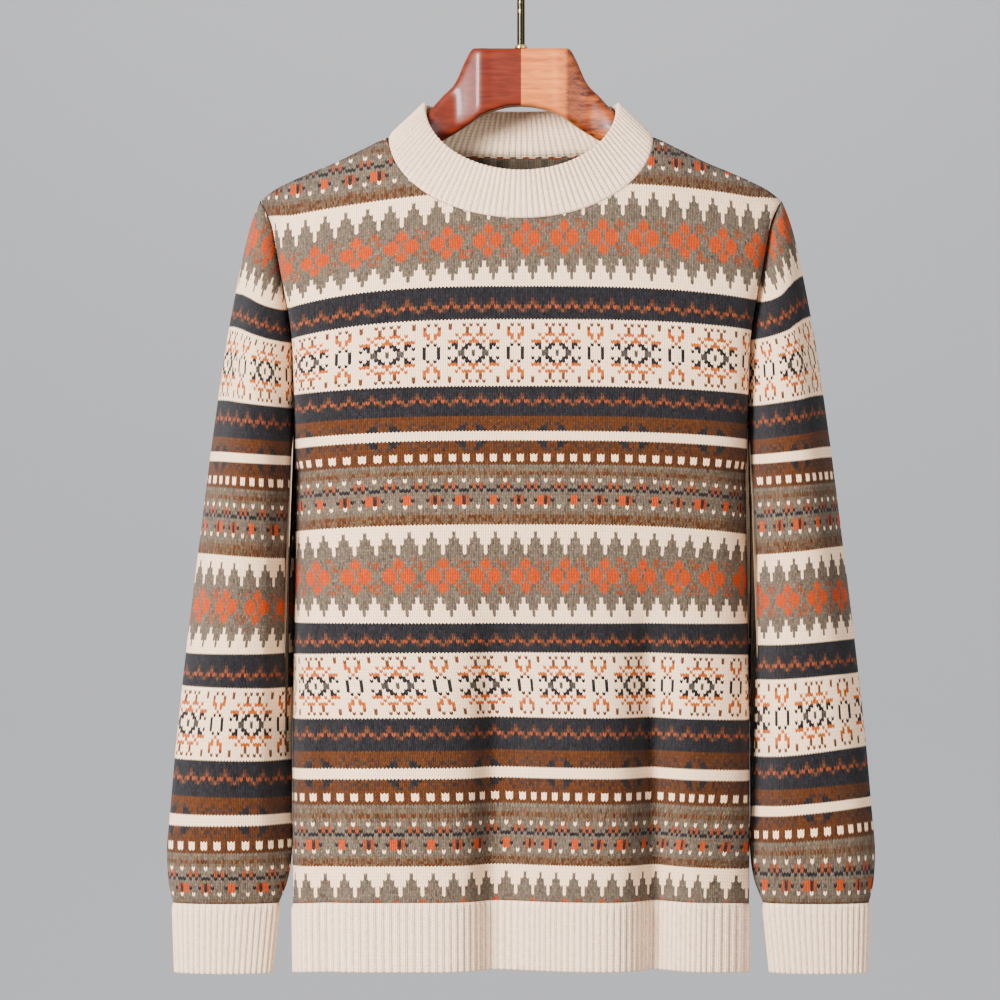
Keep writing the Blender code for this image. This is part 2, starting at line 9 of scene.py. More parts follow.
import bpy
import numpy as np
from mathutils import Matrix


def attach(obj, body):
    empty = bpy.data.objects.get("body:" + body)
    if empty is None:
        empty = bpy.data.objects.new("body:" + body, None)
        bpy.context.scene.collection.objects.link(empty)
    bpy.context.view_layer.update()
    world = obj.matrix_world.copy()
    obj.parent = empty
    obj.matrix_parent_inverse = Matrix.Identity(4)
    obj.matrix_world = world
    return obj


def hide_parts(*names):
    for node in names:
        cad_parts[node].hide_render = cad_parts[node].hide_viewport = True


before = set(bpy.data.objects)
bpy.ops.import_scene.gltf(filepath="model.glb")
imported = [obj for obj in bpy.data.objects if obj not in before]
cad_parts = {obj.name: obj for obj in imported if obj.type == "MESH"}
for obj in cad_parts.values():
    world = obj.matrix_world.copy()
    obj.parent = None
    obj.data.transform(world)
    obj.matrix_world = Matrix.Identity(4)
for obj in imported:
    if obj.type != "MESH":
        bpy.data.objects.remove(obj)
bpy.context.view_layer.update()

# ------------------------------ hanger halves
# Two broad halves carved from red hardwood, butt-jointed down the middle of the shaped neck, sanded
# round and given clear gloss varnish. Each arm follows the jumper's shoulder line from inside.
HANGER = np.array([
    # out, top_drop, foot_drop, front, back, squareness
    (0.15, 84.0, 131.5, -12.0, 12.0, 8.0),
    (12.0, 84.0, 132.6, -12.0, 12.0, 8.0),
    (24.0, 84.0, 136.0, -12.0, 12.0, 8.0),
    (35.8, 84.0, 141.3, -12.0, 12.0, 8.0),
    (40.4, 84.5, 144.5, -9.6, 12.0, 7.0),
    (46.0, 93.5, 148.5, -6.8, 12.0, 5.0),
    (54.0, 111.0, 153.5, -3.6, 12.0, 4.0),
    (65.0, 123.0, 160.0, -5.0, 12.0, 3.0),
    (80.0, 139.5, 169.0, -9.0, 11.0, 2.2),
    (95.0, 155.0, 176.0, -9.5, 10.0, 2.0),
    (109.5, 161.0, 182.0, -9.5, 9.5, 2.0),
    (132.0, 171.5, 192.0, -11.0, 11.0, 2.0),
    (160.0, 185.2, 204.0, -11.0, 11.0, 2.0),
    (180.0, 193.2, 210.0, -9.5, 9.5, 2.0),
    (194.0, 199.5, 213.8, -7.5, 7.5, 2.0),
    (203.0, 204.3, 214.2, -5.0, 5.0, 2.0),
])


def through(table, column, at):
    """A smooth curve through one column of a table against its first: cubic Hermite spans, each
    with the slopes that numpy's gradient gives its two ends, and level beyond the table."""
    rows, values = table[:, 0], table[:, column]
    slope = np.gradient(values, rows)
    at = np.clip(at, rows[0], rows[-1])
    i = np.clip(np.searchsorted(rows, at, side="right") - 1, 0, len(rows) - 2)
    span = rows[i + 1] - rows[i]
    t = (at - rows[i]) / span
    start = (1 + 2 * t) * (1 - t) ** 2 * values[i] + t * (1 - t) ** 2 * span * slope[i]
    end = t ** 2 * (3 - 2 * t) * values[i + 1] - t ** 2 * (1 - t) * span * slope[i + 1]
    return start + end


def grid_faces(shape, around=False, over=False):
    """The four corner numbers of every cell of a grid of points. around also joins the last column
    to the first, and over the last row to the first."""
    index = np.arange(shape[0] * shape[1]).reshape(shape)
    if over:
        index = np.vstack((index, index[:1]))
    if around:
        index = np.hstack((index, index[:, :1]))
    cells = (index[:-1, :-1], index[1:, :-1], index[1:, 1:], index[:-1, 1:])
    return np.stack(cells, axis=-1).reshape(-1, 4)


def tube_ends(shape):
    """The corner numbers of a tube's two ends: its first ring backwards, and its last ring."""
    rings, sides = shape
    return [list(range(sides))[::-1], list(range(rings * sides - sides, rings * sides))]


def outward_mesh(name, points, cells, ends, material):
    """A mesh in metres from millimetre points, four-cornered cells and many-cornered ends. All faces
    are turned round where the cells' signed volume about the middle is negative."""
    halves = np.concatenate((cells[:, :3], cells[:, [0, 2, 3]]))
    turn = -1 if np.linalg.det(points[halves] - points.mean(axis=0)).sum() < 0 else 1
    mesh = bpy.data.meshes.new(name)
    faces = cells[:, ::turn].tolist() + [end[::turn] for end in ends]
    mesh.from_pydata((points * 0.001).tolist(), [], faces)
    mesh.materials.append(material)
    return mesh


def placed(name, data):
    """A new object in the scene: a mesh, a light or the camera."""
    thing = bpy.data.objects.new(name, data)
    bpy.context.scene.collection.objects.link(thing)
    return thing


def stand_in(name, mesh, node):
    """The smooth object of a mesh. It rides on the only body and hides a node."""
    mesh.shade_smooth()
    piece = placed(name, mesh)
    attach(piece, "root")
    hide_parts(node)
    return piece


def add_node(tree, kind, settings=(), **inputs):
    """A shader node with its settings, then its sockets: a node's output is linked, a value is set.
    Socket names write a space as _, and in0, in1 are sockets by number."""
    node = tree.nodes.new(kind)
    for key, value in dict(settings).items():
        setattr(node, key, value)
    for key, value in inputs.items():
        numbered = key[:2] == "in" and key[2:].isdigit()
        socket = node.inputs[int(key[2:]) if numbered else key.replace("_", " ")]
        if isinstance(value, bpy.types.NodeSocket):
            tree.links.new(value, socket)
        else:
            socket.default_value = value
    return node


def maths(tree, operation, *values, kind="ShaderNodeMath"):
    """The output of one sum on numbers or other nodes' outputs."""
    sockets = {"in%d" % i: value for i, value in enumerate(values)}
    return add_node(tree, kind, {"operation": operation}, **sockets).outputs[0]


def noise(tree, place, scale, detail, **more):
    """The value of a noise at a place."""
    return add_node(tree, "ShaderNodeTexNoise", Vector=place, Scale=scale, Detail=detail, **more).outputs[0]


def new_material(name):
    """A material, its node tree, and the output that gives a point's place on the object."""
    material = bpy.data.materials.new(name)
    material.use_nodes = True
    place = add_node(material.node_tree, "ShaderNodeTexCoord").outputs["Object"]
    return material, material.node_tree, place


def set_shader(tree, colour, normal, **values):
    """Link the shader's colour and normal, and set its other sockets."""
    shader = tree.nodes["Principled BSDF"]
    tree.links.new(colour, shader.inputs["Base Color"])
    tree.links.new(normal, shader.inputs["Normal"])
    for key, value in values.items():
        shader.inputs[key.replace("_", " ")].default_value = value


def varnished_wood(name, dark, light):
    """Fine straight grain: noise stretched along the arm mixes the two browns, thinner noise adds the
    pores, and from 38 out the right arm turns to darker reds. These are painted shade for the facet
    there, which faces away from the light. A clear coat lies on top."""
    material, tree, place = new_material(name)
    slope = (0, 0.22, 0)
    along = add_node(tree, "ShaderNodeMapping", Vector=place, Rotation=slope, Scale=(14, 60, 120))
    bands = noise(tree, along.outputs[0], 2.2, 3.0, Distortion=0.6)
    across = add_node(tree, "ShaderNodeMapping", Vector=place, Rotation=slope, Scale=(90, 900, 1500))
    pores = noise(tree, across.outputs[0], 1.0, 2.0)
    grain = maths(tree, "MULTIPLY_ADD", pores, 0.5, bands)
    out = add_node(tree, "ShaderNodeSeparateXYZ", Vector=place)
    # Painted shade: from 38 out on the right arm the grain shifts to darker reds, standing in for the shade
    # on the facet that turns away from the light.
    facet_shade = add_node(tree, "ShaderNodeMapRange", Value=out.outputs[0], in1=0.0365, in2=0.0395,
                     in3=0.0, in4=-0.4)
    ramp = add_node(tree, "ShaderNodeValToRGB", Fac=maths(tree, "ADD", grain, facet_shade.outputs[0]))
    stops = ramp.color_ramp.elements
    stops.new(0.55)
    stops[0].position, stops[0].color = 0.15, (0.042, 0.0036, 0.0010, 1)
    stops[1].color = (*dark, 1)
    stops[2].position, stops[2].color = 0.95, (*light, 1)
    dents = add_node(tree, "ShaderNodeBump", Height=pores, Strength=0.08, Distance=0.0004)
    set_shader(tree, ramp.outputs[0], dents.outputs[0], Roughness=0.42, Specular_IOR_Level=0.2,
               Coat_Weight=0.10, Coat_Roughness=0.12)
    return material


def hanger_half(name, outward, material):
    """Sections from the middle joint out to the arm's end. Each is a superellipse,
    |y|^n + |z|^n = 1 between the table's four sides, and the last few shrink round the end."""
    tip, rounding = 203, 5
    shoulder = tip - rounding
    end = tip - rounding * np.cos(np.linspace(0.2, 1, 9) * np.pi / 2)
    neck, slope, arm = np.linspace(0.03, 40, 22), np.linspace(42, 60, 14), np.linspace(62, shoulder, 60)
    out = np.concatenate((neck, slope, arm, end))
    close = np.sqrt(np.clip(1 - ((out - shoulder) / rounding).clip(0) ** 2, 0.02, 1))[:, None]
    top, foot, front, back, squareness = (through(HANGER, i, out)[:, None] for i in range(1, 6))
    angle = np.linspace(0, 2 * np.pi, 48, endpoint=False)[None, :]
    level = np.sign(np.cos(angle)) * np.abs(np.cos(angle)) ** (2 / squareness)
    upright = np.sign(np.sin(angle)) * np.abs(np.sin(angle)) ** (2 / squareness)
    y = (front + back) / 2 + level * close * (back - front) / 2
    z = -(top + foot) / 2 + upright * close * (foot - top) / 2
    points = np.stack((outward * out[:, None] + 0 * y, y, z), axis=-1).reshape(-1, 3)
    mesh = outward_mesh(name, points, grid_faces(y.shape, around=True), tube_ends(y.shape), material)
    stand_in(name, mesh, name.replace("wood", "hanger"))
    mesh.set_sharp_from_angle(angle=np.radians(35))


RED_WOOD = varnished_wood("varnished_red_wood", (0.062, 0.0058, 0.0014), (0.118, 0.0125, 0.0025))
# The right half's paler browns are a painted highlight: the softbox's reflection on the varnish, put into
# its base colour.
PAINTED_HIGHLIGHT_WOOD = varnished_wood("varnished_wood_painted_highlight", (0.28, 0.060, 0.0110), (0.53, 0.140, 0.026))
hanger_half("wood_left", -1, RED_WOOD)
hanger_half("wood_right", 1, PAINTED_HIGHLIGHT_WOOD)

# ------------------------------ hook and collar
# A bronze-plated steel wire, bent over the rail and screwed down into the neck's joint, with a small
# turned brass collar that hides the hole at its foot.


def plated(name, colour, edge, roughness):
    """Metal whose colour wanders between two tones in patches of noise. On the collar these are rubbed
    brass; on the hook the brass-yellow tone is a painted reflection of the light along its edges.
    """
    material, tree, place = new_material(name)
    wear_and_glint = noise(tree, place, 160.0, 4.0, Roughness=0.6)
    ramp = add_node(tree, "ShaderNodeValToRGB", Fac=wear_and_glint)
    stops = ramp.color_ramp.elements
    stops[0].position, stops[0].color = 0.58, (*colour, 1)
    stops[1].position, stops[1].color = 0.82, (*edge, 1)
    scratches = add_node(tree, "ShaderNodeBump", Height=wear_and_glint, Strength=0.05, Distance=0.0002)
    set_shader(tree, ramp.outputs[0], scratches.outputs[0], Metallic=1.0, Roughness=roughness)
    return material


def unit(vectors):
    """The vectors of an array, each over its own length."""
    return vectors / np.maximum(np.linalg.norm(vectors, axis=-1, keepdims=True), 1e-9)


def hook_wire(name):
    """A round tube: the shank straight up, a cubic Bezier turn to the side, then an arc over the
    rail, with rings square to the path and a domed tip."""
    radius, bend = 3.2, 20.0
    centre = radius - bend
    angle = np.radians(np.linspace(-40, 205, 64))
    arc = np.stack((bend * np.cos(angle), centre + bend * np.sin(angle)), axis=-1)
    shank = np.stack((np.zeros(13), np.linspace(-108, -43, 13)), axis=-1)
    t = np.linspace(0, 1, 22)[1:-1, None]
    leave = shank[-1] + (0, 7)
    arrive = arc[0] - 7 * np.array([-np.sin(angle[0]), np.cos(angle[0])])
    turn = ((1 - t) ** 3 * shank[-1] + 3 * t * (1 - t) ** 2 * leave
            + 3 * t ** 2 * (1 - t) * arrive + t ** 3 * arc[0])
    path = np.vstack((shank, turn, arc))
    along = unit(np.gradient(path, axis=0))
    dome = np.linspace(0.15, 1, 6)[:, None]
    girth = np.concatenate((np.full(len(path), radius), radius * np.sqrt(1 - (0.98 * dome[:, 0]) ** 2)))
    path = np.vstack((path, path[-1] + along[-1] * 1.6 * dome))
    along = np.vstack((along, np.repeat(along[-1:], len(dome), axis=0)))
    around = np.linspace(0, 2 * np.pi, 24, endpoint=False)[None, :, None]
    square = np.stack((along[:, 1], 0 * along[:, 0], -along[:, 0]), axis=-1)[:, None, :]
    spine = np.stack((path[:, 0], 0 * path[:, 0], path[:, 1]), axis=-1)[:, None, :]
    rings = spine + girth[:, None, None] * (np.cos(around) * square + np.sin(around) * np.array([0, 1, 0]))
    shape = rings.shape[:2]
    # The brass-yellow second tone on the dark bronze is a painted reflection of the light caught along the
    # wire's edges.
    bronze = plated("dark_bronze", (0.022, 0.018, 0.010), (0.30, 0.22, 0.09), 0.24)
    mesh = outward_mesh(name, rings.reshape(-1, 3), grid_faces(shape, around=True), tube_ends(shape), bronze)
    stand_in(name, mesh, "hanger_hook")


def turned_collar(name):
    """A profile turned round the shank: a ring with a rounded rim and a small bead on top."""
    profile = np.array([
        # radius, height
        (3.55, -83.6), (5.2, -83.6), (5.35, -83.2), (5.35, -82.4), (5.2, -82.0),
        (4.7, -81.8), (4.75, -81.3), (4.6, -80.8), (4.2, -80.45), (3.55, -80.4),
    ])
    angle = np.linspace(0, 2 * np.pi, 48, endpoint=False)[:, None]
    radius, height = profile[:, 0], profile[:, 1] + 0 * angle
    rings = np.stack((radius * np.cos(angle), radius * np.sin(angle), height), axis=-1)
    cells = grid_faces(rings.shape[:2], around=True, over=True)
    brass = plated("polished_brass", (0.62, 0.44, 0.18), (0.86, 0.68, 0.36), 0.22)
    mesh = outward_mesh(name, rings.reshape(-1, 3), cells, [], brass)
    stand_in(name, mesh, "hanger_collar")


hook_wire("hook_wire")
turned_collar("collar_ring")

# ------------------------------ front panel
# The jumper's front: soft brushed wool jersey, stranded in brown, taupe, charcoal, orange and cream,
# 165 stitches wide, with a shaped neck, sloping shoulders and curved armholes linked to its neighbours.
SHOULDER = np.array([
    # out, drop
    (0.0, 150.0), (60.0, 151.5), (109.5, 157.0), (132.0, 167.5), (153.0, 177.8), (175.0, 187.0),
    (193.0, 195.0), (206.0, 202.0), (216.0, 210.0),
])
EDGE = np.array([
    # drop, out
    (210.0, 216.0), (228.0, 207.0), (250.0, 202.0), (274.0, 197.5), (298.0, 192.5),
    (325.0, 188.5), (360.0, 187.0), (435.0, 186.5), (486.0, 187.0), (584.0, 188.3),
    (663.0, 189.4), (745.0, 189.4), (800.0, 189.0),
])
DEPTH = np.array([
    # drop, front, back
    (150.0, 62.0, 56.0), (240.0, 76.0, 62.0), (330.0, 86.0, 70.0), (430.0, 88.0, 74.0),
    (520.0, 84.0, 76.0), (620.0, 76.0, 74.0), (700.0, 68.0, 70.0), (800.0, 62.0, 66.0),
])
TROUGHS = {
    -1: (
        # out, lean, press, half_width, top_drop
        (6.0, 0.0, 12.0, 36.0, 500.0),
        (-18.0, 0.0, 19.0, 24.0, 500.0),
        (-27.0, 0.0, 6.0, 9.0, 510.0),
        (112.0, 0.03, 27.0, 21.0, 490.0),
        (109.0, 0.03, 7.0, 8.0, 500.0),
        (-160.0, -0.02, 7.0, 14.0, 560.0),
    ),
    1: (
        (36.0, -0.03, 19.0, 30.0, 500.0),
        (-96.0, 0.03, 22.0, 24.0, 540.0),
        (150.0, 0.02, 8.0, 15.0, 580.0),
    ),
}
NECK_CORNER = (109.5, 157.0)  # out, drop
NECK_DEPTH = {-1: 71.0, 1: 14.0}
SHOULDER_ROUNDING = {-1: 150.0, 1: 110.0}
ARMHOLE_TOP, UNDERARM, ARMHOLE_DEPTH = 210.0, 435.0, 38.0
HALF_CHEST = 189.0
HEM_SEAM, HEM_DIP = 787.5, 5.5
HALF_GAP = 0.15  # from a piece to the middle of a seam
THICKNESS = 2.4


def armhole_depth(drop):
    """How far the armhole seam stands off the shoulder plane: half an ellipse, 38 deep, from the
    shoulder tip at 210 down to the underarm at 435."""
    middle, half = (ARMHOLE_TOP + UNDERARM) / 2, (UNDERARM - ARMHOLE_TOP) / 2
    return ARMHOLE_DEPTH * np.sqrt(np.clip(1 - ((drop - middle) / half) ** 2, 0, 1))


def smooth_step(t):
    """0 below 0, 1 above 1, and 3t^2 - 2t^3 between."""
    t = np.clip(t, 0, 1)
    return t * t * (3 - 2 * t)


def bulge_at(across):
    """The superellipse's rise (1 - |across|^3)^(1/3), from 0 at the seams to 1 in the middle."""
    return np.clip(1 - np.abs(across) ** 3, 0, 1) ** (1 / 3)


def hem_line(across):
    """The drop of a panel's foot: lower at the side seams than in the middle."""
    return HEM_SEAM + HEM_DIP * (1 - bulge_at(across))


def body_surface(side, across, drop, closed=True):
    """A point of the front (side -1) or back (side 1), at a share of the half width and a drop:
    y = seam + (depth * closing - seam) * bulge, less the troughs, each a Gaussian across that fades
    in over 160 downwards. closing rounds the body over to the shoulder line, unless closed is false."""
    x = through(EDGE, 1, drop) * across
    bulge = bulge_at(across)
    below = (drop - through(SHOULDER, 1, np.abs(x))) / SHOULDER_ROUNDING[side]
    closing = np.sqrt(1 - (1 - np.clip(below, 0, 1)) ** 2) if closed else 1
    seam = armhole_depth(drop)
    y = seam + (through(DEPTH, 1 if side < 0 else 2, drop) * closing - seam) * bulge
    for out, lean, press, half_width, top_drop in TROUGHS[side]:
        centre = out + lean * (drop - HEM_SEAM)
        fade = smooth_step((drop - top_drop) / 160)
        y = y - press * fade * bulge * np.exp(-((x - centre) / half_width) ** 2)
    return np.stack((x, side * np.maximum(y, HALF_GAP), -drop), axis=-1)


def body_top(side, x):
    """Where a panel ends above: on the neckline's half oval in the middle, on the shoulder beyond."""
    out, drop = NECK_CORNER
    neckline = drop + NECK_DEPTH[side] * np.sqrt(np.clip(1 - (x / out) ** 2, 0, 1))
    return np.maximum(through(SHOULDER, 1, np.abs(x)), neckline)


# Rows of knitting are counted down from the upper charcoal band. At some of them: the drop on the
# centre line, how far the row hangs lower at the left and right seams, and how far it tilts up to the
# right.
ROWS = np.array([
    # row, drop, sag_left, sag_right, tilt
    (-60, 120.0, 6.0, 19.0, 13.0), (-44, 163.9, 6.0, 19.0, 13.0), (-30, 202.2, 8.7, 19.2, 13.3),
    (-17, 238.4, 14.7, 18.5, 9.8), (0, 284.3, 16.1, 9.5, 0.0), (9, 311.6, 15.1, 7.7, 0.0),
    (29, 365.7, 6.6, 6.2, 0.0), (38, 390.1, 6.5, 6.4, 0.0), (46, 409.8, 6.5, 6.5, 0.0),
    (57, 440.8, 6.4, 7.5, 0.0), (71, 478.3, 6.2, 8.7, 0.0), (80, 502.2, 4.4, 6.4, 0.0),
    (93, 537.6, 2.0, 3.1, 0.0), (101, 558.6, 0.4, 1.2, 0.0), (110, 582.8, 2.5, 3.3, 0.0),
    (130, 635.9, 2.4, 3.5, 0.0), (139, 662.9, 2.3, 3.8, 0.0), (144, 677.2, 2.3, 3.9, 0.0),
    (147, 685.9, 2.3, 4.0, 0.0), (154, 706.8, 2.4, 4.3, 0.0), (158, 721.6, 2.4, 4.4, 0.0),
    (167, 747.0, 2.4, 4.7, 0.0), (172, 757.5, 2.6, 4.9, 0.0), (180, 779.4, 4.4, 5.1, 0.0),
    (191, 807.0, 5.2, 5.2, 0.0),
])
STITCHES = 165
# How many stitches the front's columns are pulled sideways, by drop and by stitch from the middle.
EASE_STITCH = (-82.5, -70, -60, -50, -40, -30, -20, -10, 0, 10, 20, 30, 40, 50, 60, 70, 82.5)
EASE = np.array([
    # drop, then the pull at each of those stitches
    (243, 0.0, 1.2, 1.4, 1.1, 0.3, -0.9, -1.7, -1.6, -0.5, 0.3, 1.2, 1.5, 1.5, 1.5, 2.0, 3.2, 0.0),
    (338, 0.0, 0.4, 1.4, 1.8, 0.9, 0.1, -0.2, -0.1, -0.3, -0.4, 0.5, 0.8, 1.0, 1.3, 1.6, 1.6, 0.0),
    (427, 0.0, 3.9, 3.7, 2.3, 0.9, -0.2, -0.7, -0.5, -0.2, 0.2, 0.7, 0.4, 0.6, 1.3, 1.1, 2.2, 0.0),
    (520, 0.0, 2.1, 1.9, 1.1, 0.5, 0.0, -0.8, -0.9, -0.3, 0.3, 0.9, 1.4, 2.8, 4.5, 5.0, 4.2, 0.0),
    (611, 0.0, 1.0, 1.2, 0.9, 0.6, 0.2, -0.2, -1.6, -1.8, -0.1, 0.9, 1.8, 0.7, 2.0, 3.7, 2.9, 0.0),
    (704, 0.0, 1.6, 1.4, 0.3, -0.4, -1.1, -1.2, -2.6, -2.7, -0.1, 1.2, 1.6, 0.1, -0.5, 3.9, 3.2, 0.0),
    (768, 0.0, 1.3, 1.1, 0.4, -0.5, -0.8, -0.3, -1.1, -0.8, 1.8, 3.0, 3.7, 3.4, 5.2, 8.6, 6.9, 0.0),
])
# The drops at which the columns' places are worked out, on panels and sleeves.
TOP_LEVEL, LEVEL_STEP = 150.0, 4.0


def length_along(points):
    """How far along its line every point lies, in straight steps. Lines run down the last axis but
    one."""
    steps = np.linalg.norm(np.diff(points, axis=-2), axis=-1)
    return np.concatenate((0 * steps[..., :1], np.cumsum(steps, axis=-1)), axis=-1)


def run_on(values, by):
    """The values along a line, with one more at each end, beyond the line's last by an amount."""
    return np.concatenate((values[..., :1] - by, values, values[..., -1:] + by), axis=-1)


def column_places(side):
    """Where the columns of stitches lie: x for every drop (rows) and stitch number (columns). Each
    level's arc is measured along the section in small steps and cut into stitches from its middle;
    above the underarm the stitch keeps its width and the armholes cut columns off. Stitches past the
    edge run straight on."""
    levels = np.arange(TOP_LEVEL, 802.0, LEVEL_STEP)[:, None]
    across = np.sin(np.linspace(-np.pi / 2, np.pi / 2, 601))[None, :]
    section = body_surface(side, across, levels + 0 * across, closed=False)[..., :2]
    arc = length_along(section)
    gauge = arc[:, -1:] / STITCHES
    underarm = int((UNDERARM - TOP_LEVEL) / LEVEL_STEP)
    gauge[:underarm] = gauge[underarm]
    stitch = (arc - arc[:, -1:] / 2) / gauge
    if side < 0:
        pull = np.stack([np.interp(levels[:, 0], EASE[:, 0], column) for column in EASE.T[1:]], axis=1)
        pull = np.stack([np.interp(at, EASE_STITCH, values) for at, values in zip(stitch, pull)])
        stitch = stitch + pull
    known = zip(run_on(stitch, 20), run_on(section[..., 0], 20 * gauge))
    wanted = np.arange(-STITCHES / 2 - 1, STITCHES / 2 + 1.25, 0.5)
    return np.stack([np.interp(wanted, *line) for line in known]), wanted


def look_up(table, drop, stitch, first_drop, first_stitch):
    """Bilinear reading of a table whose rows are levels and whose columns are half stitches."""
    u = np.clip((drop - first_drop) / LEVEL_STEP, 0, table.shape[0] - 1.001)
    v = np.clip((stitch - first_stitch) * 2, 0, table.shape[1] - 1.001)
    i, j = u.astype(int), v.astype(int)
    u, v = u - i, v - j
    return ((1 - u) * ((1 - v) * table[i, j] + v * table[i, j + 1])
            + u * ((1 - v) * table[i + 1, j] + v * table[i + 1, j + 1]))


def body_place(side):
    """A function from (row, stitch) to (across, drop, off) on one panel. The row's drop is its
    centre's, plus |q|^n times the sag of its side, less q times its tilt, where q is x over the half
    width and n is 3, or 2.3 on the chest. What lies off the cut is moved onto its edge and marked."""
    places, wanted = column_places(side)
    touch = 0.01

    def place(row, stitch):
        centre, left, right, tilt = (np.interp(row, ROWS[:, 0], ROWS[:, i]) for i in range(1, 5))
        if side > 0:
            left, right, tilt = (left + right) / 2, (left + right) / 2, 0 * tilt
        power = np.interp(row, (-17, 0), (2.3, 3.0))
        drop = centre
        for _ in range(2):
            x = look_up(places, drop, stitch, TOP_LEVEL, wanted[0])
            q = np.clip(x / HALF_CHEST, -1, 1)
            drop = centre + np.where(q < 0, left, right) * np.abs(q) ** power - tilt * q
        edge = through(EDGE, 1, drop)
        off = np.abs(x) >= edge - touch
        x = np.clip(x, -edge, edge)
        top, foot = body_top(side, x), hem_line(np.clip(x / HALF_CHEST, -1, 1))
        off |= (drop <= top + touch) | (drop >= foot - touch)
        drop = np.clip(drop, top, foot)
        return np.clip(x / through(EDGE, 1, drop), -1, 1), drop, off

    return place


# The yarns, as linear colours, each with how strongly its heather varies.
LEAST_TONE = 0.0006
YARNS = {
    "w": (0.930, 0.620, 0.380, 0.035),  # cream
    "k": (0.0100, 0.0085, 0.0097, 0.30),  # charcoal
    "n": (0.0600, 0.0170, 0.0032, 0.20),  # rust brown
    "t": (0.0940, 0.0665, 0.0440, 0.26),  # taupe
    "g": (0.0460, 0.0370, 0.0290, 0.24),  # olive grey
    "b": (0.0950, 0.0290, 0.0110, 0.18),  # dark brown
    "o": (0.3400, 0.0640, 0.0030, 0.14),  # soft orange
    "f": (0.3450, 0.0360, 0.0008, 0.10),  # bright orange
    "z": (0.1950, 0.0350, 0.0085, 0.18),  # salmon
    "r": (0.0540, 0.0160, 0.0075, 0.22),  # dark rust
    "d": (0.0290, 0.0135, 0.0090, 0.28),  # brown and charcoal twist
    "a": (0.0830, 0.0440, 0.0215, 0.24),  # rust and taupe twist
}
# Marls: two yarns, and the share of stitches that take the second.
MARLS = {"s": ("t", "a", 0.5), "m": ("a", "n", 0.35), "c": ("t", "z", 0.5)}
REPEAT = 24


def mirrored(rows):
    """A full repeat of 24 from half of it: each string runs from the motif's centre to 12 beyond."""
    return [row[:0:-1] + row[:-1] for row in rows]


def fair_isle():
    """One repeat of the design, 101 rows by 24 stitches, of yarn letters. Each band gives its rows
    and the column where its strings begin, and is repeated across and turned to it."""
    motif = [
        ".............",
        ".b.b...b...b.",
        "..b....b..b..",
        "..b.......o..",
        ".ooo.o....oo.",
        "o...o......o.",
        "oo.o.ooo....o",
        ".kk..kk....k.",
        "..kk.k.k..k..",
        "g..gg.....k..",
    ]
    diamond = [
        "nddnnnnndnnnd",
        "nnkknnndnnddn",
        "rnkkknndndnnd",
    ]
    zigzag = ["rkkkkk", "bdkkkd", "kzbkbz", "kkdbdk"]
    spikes = [".t.....t....", ".t.....t....", "ttt...ttt...", "ttt...ttt..."]
    flower = [
        "ttttftttcctt",
        "tttfffttcccc",
        "tttfffttccct",
        "tfftftffttcc",
        "fffftffffttt",
        "fffftffffttt",
        "fffftffffttt",
        "tfftftffttct",
        "tttfffttcccc",
        "tttfffttcctc",
        "ttttftttcccc",
    ]
    blocks = ["zttttffdzttttttfftttttzd", "zkttkffkzkttttkffktttkzk", "zttttffdzttttttfftttttzd"]
    dots, dark = ["tttwtttw"], ["n" * REPEAT]
    bands = [
        # first column, rows
        (3, ["kkkkkk"] * 3 + zigzag + ["kkkkkk"] * 2),
        (-2, mirrored(motif) + mirrored(motif)[::-1]),
        (0, ["kkkkkk"] * 2 + zigzag + ["kkkkkk"] * 3),
        (-3, dark * 2 + mirrored(diamond) + ["." * REPEAT] * 3 + mirrored(diamond)[::-1] + dark),
        (-1, ["wwnn"] * 2 + ["nnnn"] + ["tttt", "ssss", "mmmm", "ssss"]),
        (0, dots + ["ttztzttt", "tkzkzktt", "ktktktkk", "tttttttt"]),
        (0, blocks + dots),
        (0, ["tttt", "ssss", "mmmm", "mmmm", "mmmm"]),
        (-3, ["............"] * 2 + spikes + ["tttt.ttttt.t"] * 3 + ["tttttttttttt"] + flower),
        (-4, ["tttttttttttt"] + ["tttt.ttttt.t"] * 2 + spikes[::-1] + ["............"] * 2),
    ]
    rows = []
    for first, strings in bands:
        tiled = np.array([list(string * (REPEAT // len(string))) for string in strings])
        rows.append(np.roll(tiled, first, axis=1))
    chart = np.concatenate(rows)
    return np.where(chart == ".", "w", chart)


CHART = fair_isle()


def yarn_colours(rows, columns, phase, seed):
    """A linear colour for every leg of every stitch: the chart's yarn, or a marl's pick of two, times
    one plus its own heather's random part. The heather's strength is the fourth number."""
    random = np.random.default_rng(seed)
    letters = CHART[rows % len(CHART), (columns - phase) % REPEAT]
    for letter, (first, second, share) in MARLS.items():
        pick = np.where(random.random(letters.shape) < share, second, first)
        letters = np.where(letters == letter, pick, letters)
    names = np.array(sorted(YARNS))
    table = np.array([YARNS[name] for name in names])
    found = table[np.searchsorted(names, letters)]
    heather = random.normal(0, 0.7, letters.shape + (1,)) + random.normal(0, 0.14, letters.shape + (3,))
    colour = np.clip(found[..., :3] * (1 + found[..., 3:] * heather), LEAST_TONE, 0.95)
    return np.concatenate((colour, found[..., 3:]), axis=-1)


